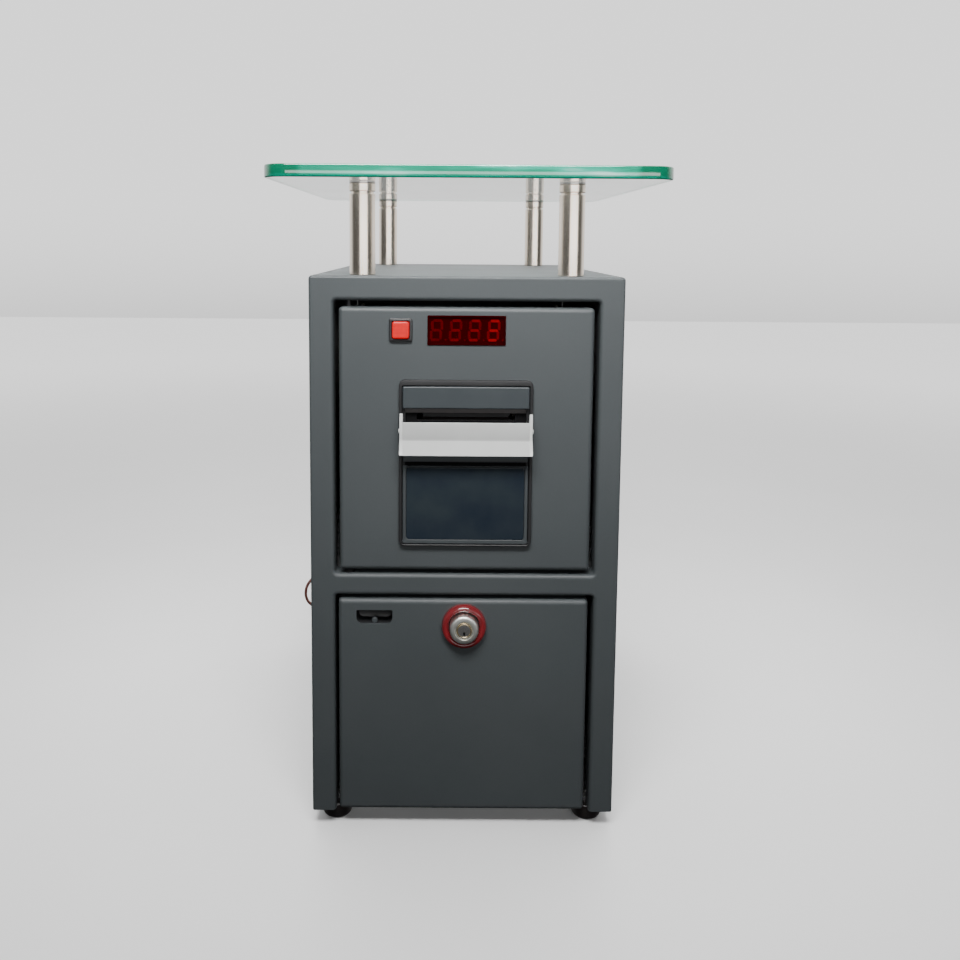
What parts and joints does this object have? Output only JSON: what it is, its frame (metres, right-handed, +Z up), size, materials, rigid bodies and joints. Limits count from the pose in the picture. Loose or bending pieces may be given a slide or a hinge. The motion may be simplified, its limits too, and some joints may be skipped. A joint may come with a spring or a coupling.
{
  "type": "ticket vending machine",
  "caption": "Counter-top ticket machine: steel cabinet with glass shelf on round posts, display, button and ticket printer on a hinged front, lockable drawer below.",
  "frame": {"origin": "on the ground under the centre of the machine's bounding box, measured without the power lead", "axes": "+Z up, -Y towards the user, +X to the user's right"},
  "size_m": [0.2841, 0.4455, 0.444],
  "materials": {
    "powder_coat": "fine-textured satin powder coat",
    "inner_steel": "galvanised sheet",
    "zinc": "bright zinc plate",
    "stainless": "polished stainless tube",
    "glass": "clear float glass, polished edge",
    "bonding_disc": "clear",
    "rubber": "moulded black rubber",
    "black_plastic": "fine moulded texture",
    "printer_plastic": "fine moulded texture",
    "window": "glossy dark window",
    "flap_plastic": "smooth white moulding",
    "red_cap": "lit translucent red",
    "display_red": "red filter",
    "segment_red": "lit segments",
    "lock_red": "glossy red",
    "lock_silver": "satin plated",
    "brass": "turned",
    "circuit_board": "solder mask",
    "component": "moulded",
    "nylon": "natural",
    "paper": "thermal paper",
    "lead_sleeve": "satin sleeve",
    "magnet": "ferrite"
  },
  "bodies": {
    "cabinet": {"cabinet_shell": "powder_coat", "mid_rail": "powder_coat", "bottom_plate": "inner_steel", "inner_shelf": "inner_steel", "back_panel": "powder_coat", "back_screws": "zinc", "rubber_feet": "rubber", "foot_screws": "zinc", "runner_left": "zinc", "runner_right": "zinc", "control_board": "circuit_board", "board_components": "component", "board_standoffs": "brass", "pivot_pins": "zinc", "magnet_catch": "magnet", "post_front_left": "stainless", "post_front_right": "stainless", "post_rear_left": "stainless", "post_rear_right": "stainless", "post_collars": "stainless", "post_bolts": "zinc", "glass_pads": "bonding_disc", "glass_top": "glass", "cable_gland": "black_plastic", "power_lead": "lead_sleeve", "lead_coil": "lead_sleeve", "lead_plug": "black_plastic"},
    "upper_front": {"upper_panel": "powder_coat", "catch_plate": "zinc", "display_housing": "black_plastic", "display_digits": "segment_red", "display_lens": "display_red", "display_board": "circuit_board", "button_housing": "black_plastic", "button_spring": "zinc", "printer_bezel": "printer_plastic", "printer_chassis": "black_plastic", "printer_cover": "printer_plastic", "thermal_head": "inner_steel", "head_springs": "zinc", "feed_motor": "inner_steel", "flap_pins": "zinc", "roll_spindle": "black_plastic"},
    "button": {"button_cap": "red_cap"},
    "flap": {"ticket_flap": "flap_plastic"},
    "printer_door": {"paper_door": "printer_plastic", "door_window": "window"},
    "platen": {"platen_roller": "rubber"},
    "idler": {"idler_gear": "nylon"},
    "motor_shaft": {"motor_gear": "nylon"},
    "roll": {"paper_roll": "paper"},
    "drawer": {"drawer_front": "powder_coat", "drawer_tray": "inner_steel", "slide_bars": "zinc", "lock_ring": "lock_red", "lock_housing": "lock_silver", "pull_cup": "black_plastic"},
    "lock": {"key_plug": "brass", "lock_cam": "zinc"}
  },
  "joints": [
    {"name": "upper_front_swing", "type": "hinge", "parent": "cabinet", "child": "upper_front", "pos_m": [-0.0767, -0.137, 0.264], "axis": [0, 0, -1], "range_deg": [0, 100]},
    {"name": "drawer_slide", "type": "slide", "parent": "cabinet", "child": "drawer", "axis": [0, -1, 0], "range_m": [0, 0.205]},
    {"name": "lock_turn", "type": "hinge", "parent": "drawer", "child": "lock", "pos_m": [0, -0.135, 0.1435], "axis": [0, -1, 0], "range_deg": [0, 90]},
    {"name": "button_press", "type": "slide", "parent": "upper_front", "child": "button", "axis": [0, 1, 0], "range_m": [0, 0.0025], "stiffness_N_per_m": 300, "springref_m": -0.002, "deforming": ["button_spring"]},
    {"name": "flap_tilt", "type": "hinge", "parent": "upper_front", "child": "flap", "pos_m": [0, -0.1488, 0.2763], "axis": [-1, 0, 0], "range_deg": [0, 20]},
    {"name": "paper_door_tilt", "type": "hinge", "parent": "upper_front", "child": "printer_door", "pos_m": [0, -0.1449, 0.2017], "axis": [1, 0, 0], "range_deg": [0, 80]},
    {"name": "platen_spin", "type": "hinge", "parent": "upper_front", "child": "platen", "pos_m": [0, -0.133, 0.2785], "axis": [1, 0, 0], "continuous": true},
    {"name": "idler_spin", "type": "hinge", "parent": "upper_front", "child": "idler", "pos_m": [0.035, -0.11823, 0.2811], "axis": [1, 0, 0], "continuous": true},
    {"name": "motor_spin", "type": "hinge", "parent": "upper_front", "child": "motor_shaft", "pos_m": [0.035, -0.10448, 0.28231], "axis": [1, 0, 0], "continuous": true},
    {"name": "roll_spin", "type": "hinge", "parent": "upper_front", "child": "roll", "pos_m": [0, -0.114, 0.2277], "axis": [1, 0, 0], "continuous": true}
  ],
  "couplings": [
    {"joint": "idler_spin", "follows": "platen_spin", "ratio": -0.5625},
    {"joint": "motor_spin", "follows": "platen_spin", "ratio": 1.2857}
  ]
}
